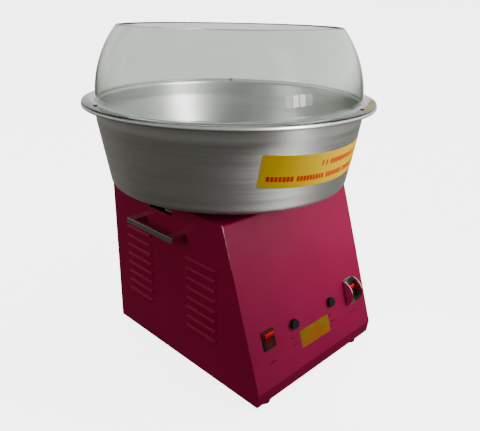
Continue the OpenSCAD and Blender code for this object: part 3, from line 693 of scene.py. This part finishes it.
def make_camera():
    yaw, pitch, roll = math.radians(CAMERA_YAW), math.radians(CAMERA_PITCH), math.radians(CAMERA_ROLL)
    forward = Vector((math.sin(yaw) * math.cos(pitch), math.cos(yaw) * math.cos(pitch), math.sin(pitch)))
    level = unit(forward.cross(Vector((0, 0, 1))))
    rise = level.cross(forward)
    right = math.cos(roll) * level + math.sin(roll) * rise
    up = math.cos(roll) * rise - math.sin(roll) * level
    data = bpy.data.cameras.new("camera")
    data.sensor_width = SENSOR_MM
    data.lens = LENS_MM
    data.shift_x, data.shift_y = CAMERA_SHIFT
    camera = bpy.data.objects.new("camera", data)
    turn = Matrix((right, up, -forward)).transposed()
    camera.matrix_world = Matrix.Translation(CAMERA_PLACE) @ turn.to_4x4()
    bpy.context.scene.collection.objects.link(camera)
    bpy.context.scene.camera = camera


make_camera()

# ---- floor, backdrop and light ----

FLOOR_R = 2.6
SWEEP_R = 1.4
BACKDROP_H = 3.5


def make_stage():
    """A pale floor that curves up into a backdrop on every side."""
    bm = bmesh.new()
    sweep = arc((FLOOR_R, SWEEP_R), SWEEP_R, -90, 0, 16)
    rings = turned(bm, [(FLOOR_R, 0), *sweep, (FLOOR_R + SWEEP_R, BACKDROP_H)], 96)
    middle = bm.verts.new((0, 0, 0))
    for here, there in zip(rings, rings[1:] + rings[:1]):
        bm.faces.new((middle, here[0], there[0]))
        for j in range(len(here) - 1):
            bm.faces.new((here[j], there[j], there[j + 1], here[j + 1]))
    floor = new_object("floor", bm, 60)
    t = Tree("floor_paper")
    tint = t.mix(t.ramp(t.noise(3, 3), 0.3, 0.7), rgb(0.88, 0.88, 0.88), rgb(0.9, 0.9, 0.9))
    paint(floor, t.set(color=tint, rough=0.9, specular=0.2, glow=rgb(1, 1, 1), glow_strength=4.2))
    # its own light stays out of the metal and the dome, which show the dim room instead
    floor.visible_glossy = False
    floor.visible_diffuse = False
    floor.visible_transmission = False


MACHINE_MIDDLE = (0, 0, 0.3)
DOME_MIDDLE = (0, 0, 0.5)


def towards(azimuth, elevation, distance):
    """A place seen from the dome: azimuth from the front towards +X, elevation up, in degrees."""
    a, e = math.radians(azimuth), math.radians(elevation)
    way = Vector((math.sin(a) * math.cos(e), -math.cos(a) * math.cos(e), math.sin(e)))
    return Vector(DOME_MIDDLE) + distance * way


def area_light(name, place, size, power, glossy, diffuse, middle, color=(1, 1, 1)):
    """A rectangular light facing the middle; glossy and diffuse say what kinds of shine it gives."""
    data = bpy.data.lights.new(name, "AREA")
    data.shape = "RECTANGLE"
    data.size, data.size_y = size
    data.energy = power
    data.color = color
    light = bpy.data.objects.new(name, data)
    direction = Vector(middle) - place
    light.matrix_world = Matrix.Translation(place) @ direction.to_track_quat("-Z", "Y").to_matrix().to_4x4()
    light.visible_camera = False
    light.visible_glossy = glossy
    light.visible_diffuse = diffuse
    light.visible_transmission = glossy
    bpy.context.scene.collection.objects.link(light)
    return light


WARM_LOW = rgb(1.0, 0.95, 0.8)
COOL_HIGH = rgb(0.98, 1.0, 0.97)


def make_world():
    """A dim room that grows brighter upwards and to the right, with a pale wall behind the machine."""
    t = Tree("studio", world=True)
    x, y, z = t.axes()

    def along(east, north):
        """How far a direction points towards the given one, level with the floor."""
        return t.math("ADD", t.math("MULTIPLY", x, east), t.math("MULTIPLY", y, north))

    def lobe(east, north, narrowness, strength):
        """A soft bright patch of the room in the given direction."""
        facing = t.math("MAXIMUM", along(east, north), 0.0)
        return t.math("MULTIPLY", t.math("POWER", facing, narrowness), strength)

    low = t.ramp(along(0.6, 0.8), 0.2, 0.85, 0.055, 0.16)
    high = t.ramp(along(0.95, 0.3), -0.9, 0.75, 0.45, 1.05)
    high = t.math("ADD", high, lobe(0.9, -0.43, 4.0, 1.7))
    upper = t.ramp(z, -0.06, 0.15)
    lower = t.math("SUBTRACT", 1.0, upper)
    level = t.math("ADD", t.math("MULTIPLY", high, upper), t.math("MULTIPLY", low, lower))
    wall = t.ramp(along(0.714, 0.70), 0.88, 0.93, 0.0, 1.15)
    strength = t.math("ADD", t.math("MAXIMUM", level, wall), lobe(0.34, -0.94, 6.0, 0.2))
    t.feed(t.shader.inputs["Strength"], strength)
    cool = t.math("MAXIMUM", upper, t.ramp(wall, 0.0, 0.3))
    t.feed(t.shader.inputs["Color"], t.mix(cool, WARM_LOW, COOL_HIGH))
    bpy.context.scene.world = t.owner


# the window as seen from the dome: its direction in degrees, its distance and its height in metres
WINDOW_TURN, WINDOW_RISE, WINDOW_AWAY = 11, 3.0, 3.0
WINDOW_H = 0.5
# its panes: degrees from its middle, width in metres, power in watts
WINDOW_PANES = [(-9, 0.3, 1.2), (-3, 0.24, 4.4), (3, 0.24, 4.4), (9, 0.3, 1.2)]
SHINE_TURN, SHINE_RISE = 12, 42


def make_light():
    make_world()
    # soft light on the paint and plastic, not seen in the metal
    soft = {"glossy": False, "diffuse": True}
    area_light("key", Vector((0.17, -0.5, 0.385)), (0.2, 0.2), 2.4, middle=(0.08, -0.15, 0.25), **soft)
    area_light("side_fill", Vector((-2.4, 0.6, 1.3)), (1.2, 1.2), 22, middle=MACHINE_MIDDLE,
               color=(1, 0.86, 0.7), **soft)
    area_light("fill", Vector((0, 0, 3.2)), (3.0, 3.0), 14, middle=MACHINE_MIDDLE, **soft)
    # a window of four panes, seen only in shiny and clear surfaces
    mirrored = {"glossy": True, "diffuse": False, "middle": DOME_MIDDLE}
    for i, (turn, width, power) in enumerate(WINDOW_PANES):
        place = towards(WINDOW_TURN + turn, WINDOW_RISE, WINDOW_AWAY)
        area_light(f"window_{i}", place, (width, WINDOW_H), power, **mirrored)
    # a brighter shine inside the bowl, which no other piece takes
    above = towards(SHINE_TURN, SHINE_RISE, WINDOW_AWAY)
    shine = area_light("bowl_shine", above, (0.4, 0.8), 220, **mirrored)
    metal = bpy.data.collections.new("bowl_shine_only")
    metal.objects.link(bowl)
    shine.light_linking.receiver_collection = metal


make_stage()
make_light()
